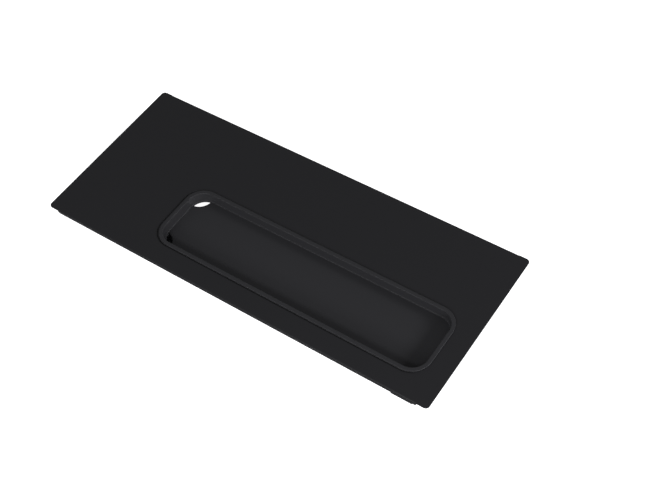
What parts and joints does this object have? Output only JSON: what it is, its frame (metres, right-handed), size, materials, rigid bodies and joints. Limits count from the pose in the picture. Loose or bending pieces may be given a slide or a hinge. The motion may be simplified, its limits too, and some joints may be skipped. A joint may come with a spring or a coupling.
{
  "type": "trash compactor front panel with recessed pull",
  "caption": "Flat black rectangular front panel of a trash compactor, with an off-centre recessed oblong finger pull, folded edge flanges and mounting brackets behind.",
  "frame": {"origin": "centre of the footprint, on the surface that the four back pads rest on", "axes": "+X along the panel's long edge, towards the end that the pull is nearer to; +Y across the panel, away from the long edge that the pull is nearer to; +Z out of the painted face"},
  "size_m": [0.375, 0.1564, 0.0232],
  "materials": {
    "satin_black_paint": "satin black powder coat on sheet steel",
    "moulded_black_plastic": "fine-textured moulded black plastic",
    "black_foam": "closed-cell foam",
    "black_coated_steel": "thin black electrocoat on pressed steel",
    "zinc_plated_steel": "clear zinc plate",
    "black_rubber": "matt moulded rubber",
    "damping_mastic": "matt bitumen mastic"
  },
  "bodies": {
    "root": {"cup_gasket": "black_foam", "damping_pad": "damping_mastic", "face_panel": "satin_black_paint", "far_left_bracket": "black_coated_steel", "far_left_nut": "zinc_plated_steel", "far_left_pad": "black_rubber", "far_right_bracket": "black_coated_steel", "far_right_nut": "zinc_plated_steel", "far_right_pad": "black_rubber", "left_clamp_bridge": "black_coated_steel", "left_far_cup_screw": "zinc_plated_steel", "left_near_cup_screw": "zinc_plated_steel", "long_stiffener": "black_coated_steel", "middle_clamp_bridge": "black_coated_steel", "middle_far_cup_screw": "zinc_plated_steel", "middle_near_cup_screw": "zinc_plated_steel", "near_left_bracket": "black_coated_steel", "near_left_nut": "zinc_plated_steel", "near_left_pad": "black_rubber", "near_right_bracket": "black_coated_steel", "near_right_nut": "zinc_plated_steel", "near_right_pad": "black_rubber", "pull_cup": "moulded_black_plastic", "right_clamp_bridge": "black_coated_steel", "right_far_cup_screw": "zinc_plated_steel", "right_near_cup_screw": "zinc_plated_steel", "side_stiffener": "black_coated_steel"}
  },
  "joints": []
}
